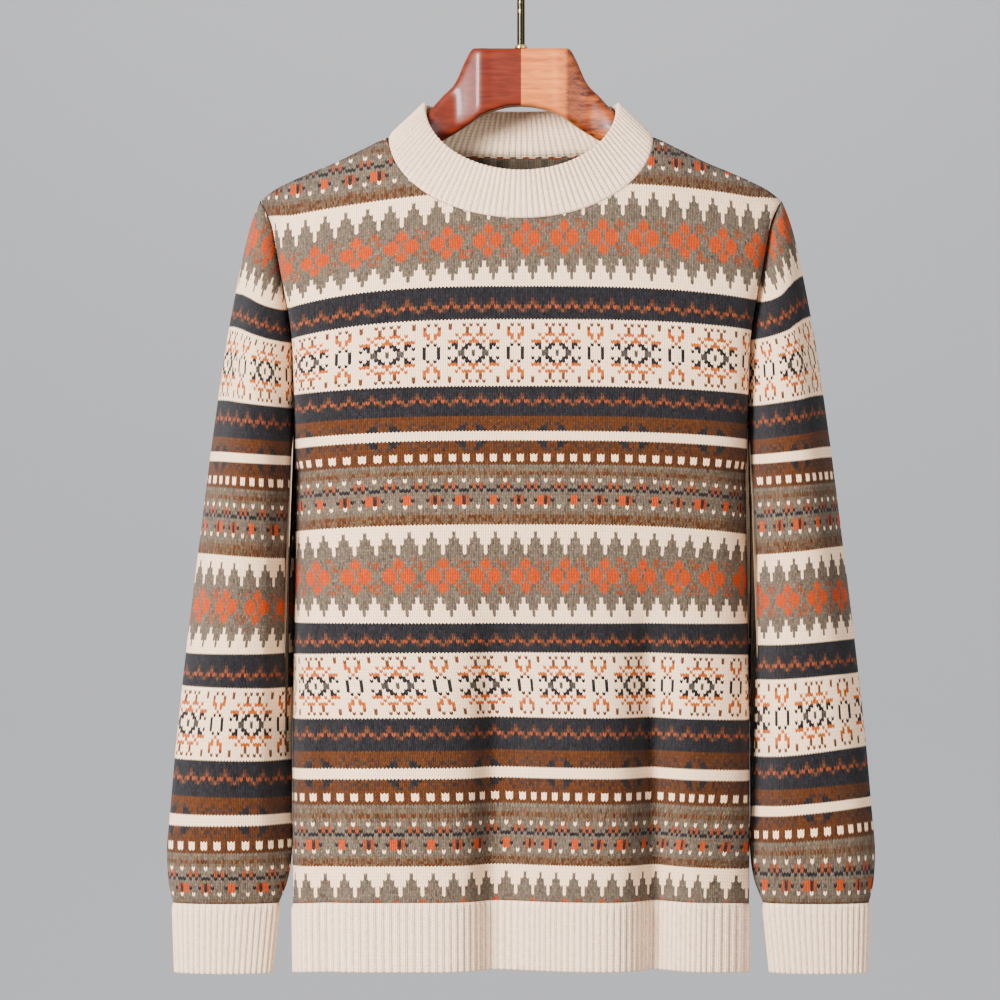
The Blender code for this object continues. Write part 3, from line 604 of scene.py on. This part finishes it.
def knitted_wool(name):
    """Stitches from the piece's own UV, whose unit is one stitch by one row. Each leg is a rounded
    strand: a parabola across, with a dip where the next row's leg covers it, and fine twisted fibres
    along it. The same height paints shade into the gaps between strands. The yarn's colour comes with
    the mesh, and flecks of noise vary it by the heather's strength, which is the colour's alpha."""
    material, tree, place = new_material(name)
    uv = add_node(tree, "ShaderNodeUVMap", {"uv_map": "stitches"}).outputs[0]
    split = add_node(tree, "ShaderNodeSeparateXYZ", Vector=uv)
    heights = []
    for value in (maths(tree, "MULTIPLY", split.outputs[0], 2.0), split.outputs[1]):
        part = maths(tree, "FRACT", value)
        heights.append(maths(tree, "MULTIPLY", part, maths(tree, "SUBTRACT", 1.0, part)))
    across = maths(tree, "MULTIPLY", heights[0], 4.0)
    strand = maths(tree, "MULTIPLY", across, maths(tree, "POWER", heights[1], 0.35))
    fine = add_node(tree, "ShaderNodeMapping", Vector=uv, Rotation=(0, 0, 0.6), Scale=(16, 7, 1))
    soft = maths(tree, "MULTIPLY_ADD", noise(tree, fine.outputs[0], 1.0, 3.0), 0.35, strand)
    bump = add_node(tree, "ShaderNodeBump", Height=soft, Strength=0.8, Distance=0.0011)
    # Painted shade: the colour runs from 0.6 of itself in the gaps between strands to 1.08 on their crowns.
    shade = add_node(tree, "ShaderNodeMapRange", Value=soft, in1=0.1, in2=0.8, in3=0.6, in4=1.08)
    yarn = add_node(tree, "ShaderNodeAttribute", {"attribute_name": "yarn"})
    vector = "ShaderNodeVectorMath"
    specks = add_node(tree, "ShaderNodeTexNoise", Vector=place, Scale=620.0, Detail=1.0, Roughness=0.7)
    pale = add_node(tree, "ShaderNodeHueSaturation", Saturation=0.35, Color=specks.outputs["Color"])
    centred = maths(tree, "SUBTRACT", pale.outputs[0], (0.535,) * 3, kind=vector)
    strength = maths(tree, "MULTIPLY", yarn.outputs["Alpha"], 9.0)
    flecks = add_node(tree, vector, {"operation": "SCALE"}, in0=centred, Scale=strength)
    colour = yarn.outputs["Color"]
    tint = maths(tree, "MULTIPLY_ADD", flecks.outputs[0], colour, colour, kind=vector)
    clean = maths(tree, "MAXIMUM", tint, (LEAST_TONE,) * 3, kind=vector)
    tone = add_node(tree, vector, {"operation": "SCALE"}, in0=clean, Scale=shade.outputs[0])
    set_shader(tree, tone.outputs[0], bump.outputs[0], Roughness=0.95, Specular_IOR_Level=0.08,
               Sheen_Weight=0.04, Sheen_Roughness=0.6)
    return material


def facing(surface, across, drop, away):
    """Unit normals of a surface of (across, drop), from its differences over small steps, pointing
    away from the garment's inside."""
    limit, side_step, down_step = 0.9995, 0.004, 0.8
    low, middle, high = (np.clip(across + i * side_step, -limit, limit) for i in (-1, 0, 1))
    sideways = surface(high, drop) - surface(low, drop)
    down = surface(middle, drop + down_step) - surface(middle, drop - down_step)
    return unit(np.cross(sideways, down) * away)


def edge_order(faces, along):
    """The vertices of a mesh's one open edge in the order of its loop, and their places along it. An
    edge that one face alone has leads from a vertex to the next; doubling the jumps strings them up
    from the lowest place on."""
    edges = np.concatenate([faces[:, [i, (i + 1) % 4]] for i in range(4)])
    edges = edges[edges[:, 0] != edges[:, 1]]
    size = faces.max() + 1
    both = np.isin(edges[:, 0] * size + edges[:, 1], edges[:, 1] * size + edges[:, 0])
    rim = edges[~both]
    jump = np.arange(size)
    jump[rim[:, 0]] = rim[:, 1]
    order = rim[[np.argmin(along[rim[:, 0]])], 0]
    while len(order) < len(rim):
        order, jump = np.concatenate((order, jump[order])), jump[jump]
    order = order[:len(rim)]
    return order, np.maximum.accumulate(along[order])


def knitted_side(place, surface, away, rows, stitches, inside):
    """One side of a knitted piece: its points, its faces, the row and stitch of each face, those of
    each point as UVs, and its open edge in order. Outside, a row drops a quarter of itself at each
    stitch's middle and rises as much beside it. Inside, points move in along the normals by the
    thickness. Cells wholly off the cut are left out, and points off it in one place become one."""
    row, stitch = rows[:, None] + 0 * stitches, stitches + 0 * rows[:, None]
    in_middle = np.abs(stitch - np.round(stitch)) < 0.25
    swing = 0 if inside else np.where(in_middle, 0.25, -0.25)
    across, drop, off = place(row, stitch)
    bent = place(row + swing, stitch)
    off |= bent[2]
    across, drop = np.where(off, across, bent[0]), np.where(off, drop, bent[1])
    points = surface(across, drop)
    spot = np.column_stack((np.round(points.reshape(-1, 3), 2), np.sign(across).ravel()))[off.ravel()]
    _, first, same = np.unique(spot, axis=0, return_index=True, return_inverse=True)
    index = np.arange(row.size)
    index[off.ravel()] = np.flatnonzero(off)[first[same.reshape(-1)]]
    if inside:
        thick = THICKNESS * np.clip(0.2 + (drop - drop.min()) / 10, 0, 1)[..., None]
        points = points - thick * facing(surface, across, drop, away)
    cells = grid_faces(row.shape)
    kept = np.flatnonzero(~off.ravel()[cells].all(axis=1))
    used, faces = np.unique(index[cells[kept]], return_inverse=True)
    faces = faces.reshape(-1, 4)
    level = (drop - drop.min()) / (drop.max() - drop.min())
    beside = np.where(across > 0, 3 - level, 5 + level)
    over_or_under = np.where(level > 0.9, 1 + across, 4 - across)
    along = np.where(np.abs(across) >= 1 - 1e-5, beside, over_or_under)
    wide = len(stitches) - 1
    face_rows = np.floor(rows[kept // wide] + 0.5 * (rows[1] - rows[0])).astype(int)
    middles = stitches[kept % wide] + 0.5 * (stitches[1] - stitches[0])
    face_stitches = np.round(middles + 1e-6).astype(int)
    uvs = np.column_stack((stitch.ravel()[used], row.ravel()[used]))
    edge = edge_order(faces, along.ravel()[used])
    return points.reshape(-1, 3)[used], faces, (face_rows, face_stitches), uvs, edge


def dress(mesh, colours, uvs):
    """Give every corner of a mesh its yarn's colour and its place in stitches and rows."""
    mesh.color_attributes.new("yarn", "FLOAT_COLOR", "CORNER").data.foreach_set("color", colours.ravel())
    mesh.uv_layers.new(name="stitches").data.foreach_set("uv", uvs.ravel())


def knit(name, place, surface, away, rows, reach, seed, node, phase=0):
    """A closed piece of cloth, 2.4 thick and thinner at its very top. The outside has two cells to a
    stitch, the legs of its V, and the inside is a coarser grid of the same surface. Triangles join
    the two edges: each vertex of one side's edge takes the last vertex before it on the other's."""
    sides = []
    for step_row, step_stitch in ((1, 0.5), (3, 2.0)):
        all_rows = np.arange(rows[0], rows[1] + step_row, step_row, dtype=float)
        stitches = np.arange(-reach - 0.5, reach + 0.5 + step_stitch, step_stitch)
        sides.append(knitted_side(place, surface, away, all_rows, stitches, inside=step_row > 1))
    outer_points, outer_faces, outer_yarns, outer_uvs, (outer, outer_along) = sides[0]
    inner_points, inner_faces, inner_yarns, inner_uvs, (inner, inner_along) = sides[1]
    inner_faces, inner = inner_faces + len(outer_points), inner + len(outer_points)
    beside = inner[np.searchsorted(inner_along, outer_along, side="right") - 1]
    behind = outer[np.searchsorted(outer_along, inner_along, side="left") - 1]
    before = np.roll(inner, 1)
    rim = np.concatenate((np.stack((outer, np.roll(outer, 1), beside, beside), axis=1),
                          np.stack((inner, behind, before, before), axis=1)))
    faces = np.concatenate((outer_faces, inner_faces[:, ::-1], rim))
    if away > 0:
        faces = faces[:, ::-1]
    fresh = faces != np.roll(faces, 1, axis=1)
    sizes, corners = fresh.sum(axis=1), faces[fresh]
    rim_stitches, rim_rows = outer_uvs[np.concatenate((outer, behind))].T
    rim_yarns = (np.floor(rim_rows).astype(int), np.round(rim_stitches).astype(int))
    colours = np.concatenate((yarn_colours(*outer_yarns, phase, seed),
                              0.8 * yarn_colours(*inner_yarns, phase, seed + 1),
                              yarn_colours(*rim_yarns, phase, seed + 2)))
    points = np.concatenate((outer_points, inner_points)) * 0.001
    mesh = bpy.data.meshes.new(name)
    mesh.vertices.add(len(points))
    mesh.vertices.foreach_set("co", points.ravel())
    mesh.loops.add(len(corners))
    mesh.loops.foreach_set("vertex_index", corners)
    mesh.polygons.add(len(faces))
    mesh.polygons.foreach_set("loop_start", np.cumsum(sizes) - sizes)
    mesh.polygons.foreach_set("loop_total", sizes)
    mesh.update(calc_edges=True)
    mesh.materials.append(WOOL)
    dress(mesh, np.repeat(colours, sizes, axis=0), np.concatenate((outer_uvs, inner_uvs))[corners])
    piece = stand_in(name, mesh, node)


WOOL = knitted_wool("stranded_wool")
knit("front_knit", body_place(-1), lambda across, drop: body_surface(-1, across, drop), away=-1,
     rows=(-50, 191), reach=83, seed=11, node="front_panel")

# ------------------------------ back panel
# The back: the same jersey and the same cut with a shallower neck, its folds in other places.
knit("back_knit", body_place(1), lambda across, drop: body_surface(1, across, drop), away=1,
     rows=(-50, 191), reach=83, seed=23, node="back_panel")

# ------------------------------ the two sleeves
# Set-in sleeves of the same jersey, knitted flat, closed by a seam along the inside of the arm and
# linked into the armholes. They narrow to the wrist by losing stitches beside that seam.
SLEEVE = np.array([
    # drop, outer, clear, half_depth, forward
    (210.0, 216.3, 0.3, 2.0, 0.0),
    (217.0, 219.4, 0.3, 14.0, 0.0),
    (232.0, 224.6, 0.3, 27.0, 0.0),
    (256.0, 230.4, 0.3, 40.0, 0.0),
    (288.0, 236.9, 0.3, 52.0, 0.0),
    (322.0, 243.2, 0.3, 61.0, 0.0),
    (360.0, 249.0, 0.3, 69.0, 0.0),
    (435.0, 259.3, 0.3, 74.0, 1.0),
    (494.0, 266.6, 0.25, 68.0, 3.0),
    (580.0, 277.0, 0.2, 58.0, 6.0),
    (662.0, 285.8, 0.15, 47.0, 9.0),
    (715.0, 290.3, 0.1, 39.0, 11.0),
    (751.0, 293.0, 0.3, 33.0, 12.0),
    (762.0, 292.6, 1.6, 30.7, 12.2),
    (775.0, 291.5, 4.6, 28.0, 12.5),
    (792.0, 287.6, 11.6, 20.0, 13.0),
])
# The sleeves' rows: the drop at the middle of the front, and how much lower the inner side hangs.
SLEEVE_ROWS = {
    -1: np.array([
        # row, drop, lower
        (-40, 164.0, 20.0), (0, 294.4, 15.4), (9, 322.0, 14.4), (29, 379.0, 7.2), (38, 408.3, 4.5),
        (46, 427.7, 3.5), (52, 446.3, 4.2), (71, 504.3, 4.2), (101, 584.2, 0.1), (110, 612.3, 1.7),
        (130, 671.9, 1.2), (139, 702.2, 1.6), (147, 725.8, -0.9), (153, 745.6, -0.8),
        (161, 768.2, -0.7), (166.5, 782.8, -0.4), (170, 792.5, 0.0),
    ]),
    1: np.array([
        (-40, 156.0, 28.0), (0, 284.0, 22.9), (9, 316.7, 20.2), (29, 376.1, 9.7), (38, 404.6, 8.6),
        (46, 425.7, 6.0), (52, 443.4, 5.1), (71, 500.0, 7.2), (101, 575.1, 5.1), (110, 603.6, 5.8),
        (130, 665.5, 9.0), (139, 694.0, 6.5), (147, 715.0, 9.0), (153, 734.0, 7.4),
        (161, 764.2, 1.7), (166.5, 781.8, 0.6), (170, 792.5, 0.0),
    ]),
}
CUFF_SEAM = 791.0
# Where the columns of stitches lie on the sleeves' fronts.
SLEEVE_STITCHES = np.arange(-56.0, 0.0, 6.0)
SLEEVE_COLUMNS = {
    -1: np.array([
        # drop, then how far out each of those stitches stands
        (230.0, 154.9, 163.5, 172.1, 180.7, 189.3, 198.0, 206.6, 215.2, 223.8, 232.4),
        (344.0, 180.3, 190.0, 199.7, 209.3, 218.8, 228.2, 234.6, 240.9, 247.3, 253.6),
        (541.0, 175.2, 186.7, 198.2, 209.7, 222.0, 235.1, 246.6, 256.5, 266.3, 276.2),
        (639.0, 184.3, 196.5, 208.7, 220.8, 235.2, 249.5, 261.2, 273.0, 284.8, 296.5),
        (731.0, 185.0, 195.3, 207.0, 221.9, 239.4, 256.6, 271.9, 285.6, 298.4, 311.1),
    ]),
    1: np.array([
        (230.0, 158.3, 166.1, 173.9, 181.7, 189.5, 197.3, 205.1, 212.9, 220.7, 228.5),
        (344.0, 174.9, 183.9, 192.9, 202.0, 213.9, 225.8, 232.4, 239.0, 245.6, 252.2),
        (541.0, 180.1, 190.8, 201.5, 212.2, 224.0, 236.7, 247.8, 257.3, 266.7, 276.2),
        (639.0, 177.4, 189.7, 202.0, 214.3, 227.4, 240.6, 252.9, 265.3, 277.7, 290.0),
        (731.0, 182.9, 191.6, 202.2, 215.6, 230.7, 247.2, 263.8, 276.2, 285.0, 293.2),
    ]),
}


def sleeve_surface(outward, around, drop):
    """A point of a sleeve, at a share round from its outermost line and a drop. The section is an
    ellipse: x = outer - a(1 - cos(turn)), y = b sin(turn) - forward, which the armhole's seam cuts off
    above the underarm and which closes below it, where the inner side is tucked in behind the body: y
    loses up to 0.6 of itself in a smoothstep of the turn."""
    seam = np.where(drop < UNDERARM, armhole_depth(drop), 0)
    half_depth = np.maximum(through(SLEEVE, 3, drop), seam + 0.5)
    turn = np.pi - np.arcsin(seam / half_depth)
    outer = through(SLEEVE, 1, drop)
    inner = through(EDGE, 1, drop) + through(SLEEVE, 2, drop) - HALF_GAP
    half_width = (outer - inner) / (1 - np.cos(turn))
    x = outer - half_width * (1 - np.cos(around * turn))
    behind = smooth_step((np.abs(around * turn) - 2.05) / 0.85)
    tuck = 0.6 * behind * np.clip((drop - 436) / 70, 0, 1) * np.clip((790 - drop) / 50, 0, 1)
    y = half_depth * np.sin(around * turn) * (1 - tuck) - through(SLEEVE, 4, drop)
    return np.stack((outward * x, y, -drop), axis=-1)


def sleeve_place(outward):
    """A function from (row, stitch) to (around, drop, off) on one sleeve. On the front the table's
    places are turned into lengths along the section, and stitches read off between them; the back
    mirrors them about the outermost line. A row tilts in step with how far its point is from it."""
    levels = np.arange(ARMHOLE_TOP, 796.0, LEVEL_STEP)
    half = 120
    around = np.linspace(-1, 1, 2 * half + 1)
    section = sleeve_surface(1, around[None, :], levels[:, None] + 0 * around[None, :])[..., :2]
    arc = length_along(section)
    arc = arc - arc[:, half:half + 1]
    columns = SLEEVE_COLUMNS[outward]
    stands = np.stack([np.interp(levels, columns[:, 0], column) for column in columns.T[1:]], axis=1)
    lines, margin, margin_stitches = [], 60, 24
    for x, length, out in zip(section[:, :half + 1, 0], arc[:, :half + 1], stands):
        known = np.interp(out, run_on(x, margin), run_on(length, margin))
        front = np.interp(length, run_on(known, margin), run_on(SLEEVE_STITCHES, margin_stitches))
        lines.append(np.concatenate((front, 2 * front[-1] - front[-2::-1])))
    lines = np.array(lines)
    wanted = np.arange(-72, 72.5, 0.5)
    places = np.stack([np.interp(wanted, run_on(line, 90), run_on(around, 1)) for line in lines])
    table = SLEEVE_ROWS[outward]

    def place(row, stitch):
        centre, lower = (np.interp(row, table[:, 0], table[:, i]) for i in (1, 2))
        middle, seam = (np.interp(np.maximum(centre, 270), levels, lines[:, i]) for i in (half, 0))
        drop = centre - lower * 0.5 * np.cos(np.pi * np.clip((stitch - middle) / (middle - seam), -1, 1))
        share = look_up(places, drop, stitch, ARMHOLE_TOP, wanted[0])
        off = (np.abs(share) >= 1 - 1e-4) | (drop <= ARMHOLE_TOP + 0.1) | (drop >= CUFF_SEAM - 0.05)
        return np.clip(share, -1, 1), np.clip(drop, ARMHOLE_TOP + 0.05, CUFF_SEAM), off

    return place


for outward, side_name, phase in ((-1, "left", 0), (1, "right", 12)):
    knit("sleeve_knit_" + side_name, sleeve_place(outward),
         lambda around, drop, outward=outward: sleeve_surface(outward, around, drop), away=-outward,
         rows=(-34, 170), reach=70, seed=31 + outward, node="sleeve_" + side_name,
         phase=phase)

# ------------------------------ the ribs
# Oatmeal marl wool in one by one rib, linked on: a neck band, the hem's two halves and the cuffs.
# Crests of plain stitches stand up to 1.4 proud of the purl columns between them.
ROW_HEIGHT = 2.7
SEAM_GAP = 0.12
OATMEAL = (0.95, 0.66, 0.44)


def ribs(name, lines, count, rows, node, around=False, pull=0.0):
    """A band of ribs between lines of points: the seam and the free edge outside, then inside. Its
    section is the outside, a half round over the edge and the inside; across, each of count ribs
    raises its crest by 1.4 (0.5 - 0.5 cos)^0.4, growing from nothing over the first rows. pull moves
    the ribs sideways as the columns above them are."""
    spans, rim, back = 8, np.linspace(0, np.pi, 7)[1:-1], rows // 3
    fall = np.concatenate((np.linspace(0, 1, rows + 1), np.ones(5), np.linspace(1, 0, back + 1)))
    over = np.concatenate((np.zeros(rows + 1), 0.5 - 0.5 * np.cos(rim), np.ones(back + 1)))
    round_out = np.concatenate((np.zeros(rows + 1), 1.2 * np.sin(rim), np.zeros(back + 1)))
    fall, over, round_out = (profile[:, None, None] for profile in (fall, over, round_out))
    shares = np.linspace(0, 1, count * spans + 1)
    shift = np.interp((shares - 0.5) * STITCHES, EASE_STITCH, EASE[-1, 1:]) / STITCHES
    at = np.interp(shares, shares + pull * shift, shares)
    length = length_along(lines[0])
    at = at * length[-1]
    lines = [np.stack([np.interp(at, length, axis) for axis in line.T], axis=-1) for line in lines]
    top, foot, top_in, foot_in = np.array(lines)[:, None]
    outside, inside = top + (foot - top) * fall, top_in + (foot_in - top_in) * fall
    down, out = unit(foot - top), unit(outside - inside)
    points = outside + (inside - outside) * over + down * round_out
    phase = shares * count
    crest = (0.5 - 0.5 * np.cos(2 * np.pi * phase)) ** 0.4
    ridge = crest[None, :, None]
    rise = np.clip(fall / 0.08, 0, 1) * (ridge * (1 - over) - 0.8 * (1 - ridge) * over) * 1.4
    leg = np.abs(phase % 1 - 0.5)
    bend = np.where(leg < 0.26, 0.3 - 2.4 * leg, -0.3)[None, :, None]
    swing = bend * (over < 0.5) * np.clip(fall * (1 - fall) * 30, 0, 1)
    points = points + out * rise + down * swing * ROW_HEIGHT
    if around:
        points = points[:, :-1]
    tall, wide = points.shape[:2]
    cells = grid_faces((tall, wide), around, over=True)
    left = np.arange(tall) * wide
    ends = [] if around else [left[::-1].tolist(), (left + wide - 1).tolist()]
    mesh = outward_mesh(name, points.reshape(-1, 3), cells, ends, RIB_WOOL)
    row, column = cells[:, 0] // wide, cells[:, 0] % wide
    marl = np.random.default_rng(len(name)).normal(0, 1, (tall + 1, count * spans // 2 + 1))
    tone = 1 + 0.055 * marl[row, column // 2]
    # Painted shade: the purl columns between crests get 0.60 of the colour and the crests up to 1.04; the
    # marl's random tone above is the yarn's own.
    tone = tone * (0.60 + 0.44 * ((crest + np.roll(crest, -1)) / 2)[column])
    colours = np.concatenate((OATMEAL * tone[:, None], np.tile(OATMEAL, (len(ends), 1))))
    sizes = np.array([4] * len(cells) + [tall] * len(ends))
    shades = np.full((sizes.sum(), 4), 0.05)
    shades[:, :3] = np.repeat(np.clip(colours, 0, 0.95), sizes, axis=0)
    corners = np.empty(sizes.sum(), np.int32)
    mesh.loops.foreach_get("vertex_index", corners)
    stitch = 2 * phase[:wide] + 0.5 + np.zeros((tall, 1))
    height = length_along(points[:, 0])[:, None] / ROW_HEIGHT
    uvs = np.stack((stitch, height + 0 * stitch), axis=-1).reshape(-1, 2)
    dress(mesh, shades, uvs[corners])
    piece = stand_in(name, mesh, node)


RIB_WOOL = knitted_wool("oatmeal_wool")


def neck_lines():
    """The neck band's lines, round the front and then the back: the neckline, and the free edge, a
    half oval that stands over it, each with its line inside."""
    half_turn = np.linspace(-np.pi / 2, np.pi / 2, 241)
    level, halves = np.cos(half_turn), []
    edge_out, corner_drop = 80.5, 129.5
    for side, edge_drop, edge_y in ((-1, 189.2, -60.0), (1, 134.5, 33.0)):
        share = -side * np.sin(half_turn)
        x = NECK_CORNER[0] * share
        drop = body_top(side, x)
        seam = body_surface(side, np.clip(x / through(EDGE, 1, drop), -1, 1), drop)
        inner = seam - THICKNESS * np.stack((0.4 * share, side * level, 0.3 + 0.6 * share ** 2), axis=-1)
        z = -corner_drop - (edge_drop - corner_drop) * level
        edge = np.stack((edge_out * share, edge_y * level, z), axis=-1)
        halves.append((seam, inner, edge))
    seam, inner, edge = (np.vstack((front, back[1:])) for front, back in zip(*halves))
    corners = [0, 240, -1]
    seam[corners, 1] = inner[corners, 1] = 0
    wall, rise = unit(np.cross(np.gradient(seam, axis=0), edge - seam)), unit(edge - seam)
    return seam + SEAM_GAP * rise, edge, inner + SEAM_GAP * rise, edge - THICKNESS * wall


ribs("neck_band", neck_lines(), 112, 16, "neck_rib", around=True)

# The hem's halves hang 56 from the panels and draw in by 0.4% across and 3% in depth.
for side, side_name in ((-1, "front"), (1, "back")):
    across = np.sin(np.linspace(-np.pi / 2, np.pi / 2, 801))
    foot = hem_line(across)
    seam = body_surface(side, across, foot) - (0, 0, SEAM_GAP)
    inner = seam - THICKNESS * facing(lambda a, d: body_surface(side, a, d), across, foot, side)
    edge, edge_inner = (line * (0.996, 0.97, 1) - (0, 0, 56) for line in (seam, inner))
    for line in (seam, inner, edge, edge_inner):
        line[[0, -1], 1] = side * HALF_GAP
    ribs("hem_" + side_name, (seam, edge, inner, edge_inner), 80, 20, "hem_rib_" + side_name,
         pull=1.0 if side < 0 else 0.0)

# The cuffs hang 56.5 from the sleeves and narrow to ovals 80 wide, 246 out.
for outward, side_name in ((-1, "left"), (1, "right")):
    around = np.linspace(-1, 1, 481)
    foot = CUFF_SEAM + 0 * around
    seam = sleeve_surface(outward, around, foot) - (0, 0, SEAM_GAP)
    inner = seam - THICKNESS * facing(lambda a, d: sleeve_surface(outward, a, d), around, foot, -outward)
    low, high, forward = seam[:, 0].min(), seam[:, 0].max(), seam[:, 1].mean()
    edges = []
    for line in (seam, inner):
        x = outward * 246 + (line[:, 0] - (high + low) / 2) * 40 / ((high - low) / 2)
        edges.append(np.stack((x, forward + (line[:, 1] - forward) * 0.85, line[:, 2] - 56.5), axis=-1))
    ribs("cuff_" + side_name + "_band", (seam, edges[0], inner, edges[1]), 40, 20, "cuff_" + side_name,
         around=True)

# ------------------------------ room, light and camera
# A plain pale sweep of paper behind and below, soft light from the left and above.
FLOOR, WALL, CURVE = -2.2, 7.5, 1.2
corner = np.linspace(0, np.pi / 2, 17)
sweep_y = np.concatenate((np.linspace(-7.5, WALL - CURVE, 12), WALL - CURVE + CURVE * np.sin(corner),
                          np.full(6, WALL)))
sweep_z = np.concatenate((np.full(12, FLOOR), FLOOR + CURVE - CURVE * np.cos(corner),
                          np.linspace(-0.8, 3.0, 6)))
sweep = np.stack([np.stack((np.full(len(sweep_y), x), sweep_y, sweep_z), axis=-1) for x in (-6, 0, 6)],
                 axis=1)
mesh = bpy.data.meshes.new("paper_sweep")
mesh.from_pydata(sweep.reshape(-1, 3).tolist(), [], grid_faces(sweep.shape[:2])[:, ::-1].tolist())
mesh.shade_smooth()
paper = bpy.data.materials.new("pale_paper")
paper.use_nodes = True
matt = paper.node_tree.nodes["Principled BSDF"]
matt.inputs["Base Color"].default_value = (0.45, 0.45, 0.46, 1)
matt.inputs["Roughness"].default_value = 0.9
mesh.materials.append(paper)
backdrop = placed("paper_sweep", mesh)

world = bpy.data.worlds.new("soft_room")
world.use_nodes = True
daylight = world.node_tree.nodes["Background"]
daylight.inputs["Color"].default_value = (0.95, 0.97, 1.0, 1)
daylight.inputs["Strength"].default_value = 0.85
bpy.context.scene.world = world


def soft_box(name, place, target, size, power):
    """A square area light that faces a target."""
    light = bpy.data.lights.new(name, "AREA")
    light.shape = "SQUARE"
    light.size = size
    light.energy = power
    lamp = placed(name, light)
    lamp.location = place
    direction = np.array(target) - np.array(place)
    tilt = np.arccos(-direction[2] / np.linalg.norm(direction))
    lamp.rotation_euler = (tilt, 0, np.arctan2(direction[1], direction[0]) - np.pi / 2)


soft_box("key_left", (-2.2, -2.6, 0.5), (0, 0, -0.45), 1.1, 560)
soft_box("fill_right", (2.4, -2.6, 0.2), (0, 0, -0.45), 2.0, 76)
soft_box("wall_wash", (0, 5.1, 2.6), (0, 7.3, -0.4), 1.6, 60)

# The camera stands 4 m away, where its frame is 0.83 m wide.
camera = placed("camera", bpy.data.cameras.new("camera"))
camera.data.sensor_width = 36
camera.data.lens = 36 * 4.0 / 0.83
camera.data.clip_end = 60
camera.location = (-0.0174, -4.0, -0.4583)
camera.rotation_euler = (np.pi / 2, 0, 0)
bpy.context.scene.camera = camera

bpy.context.view_layer.update()
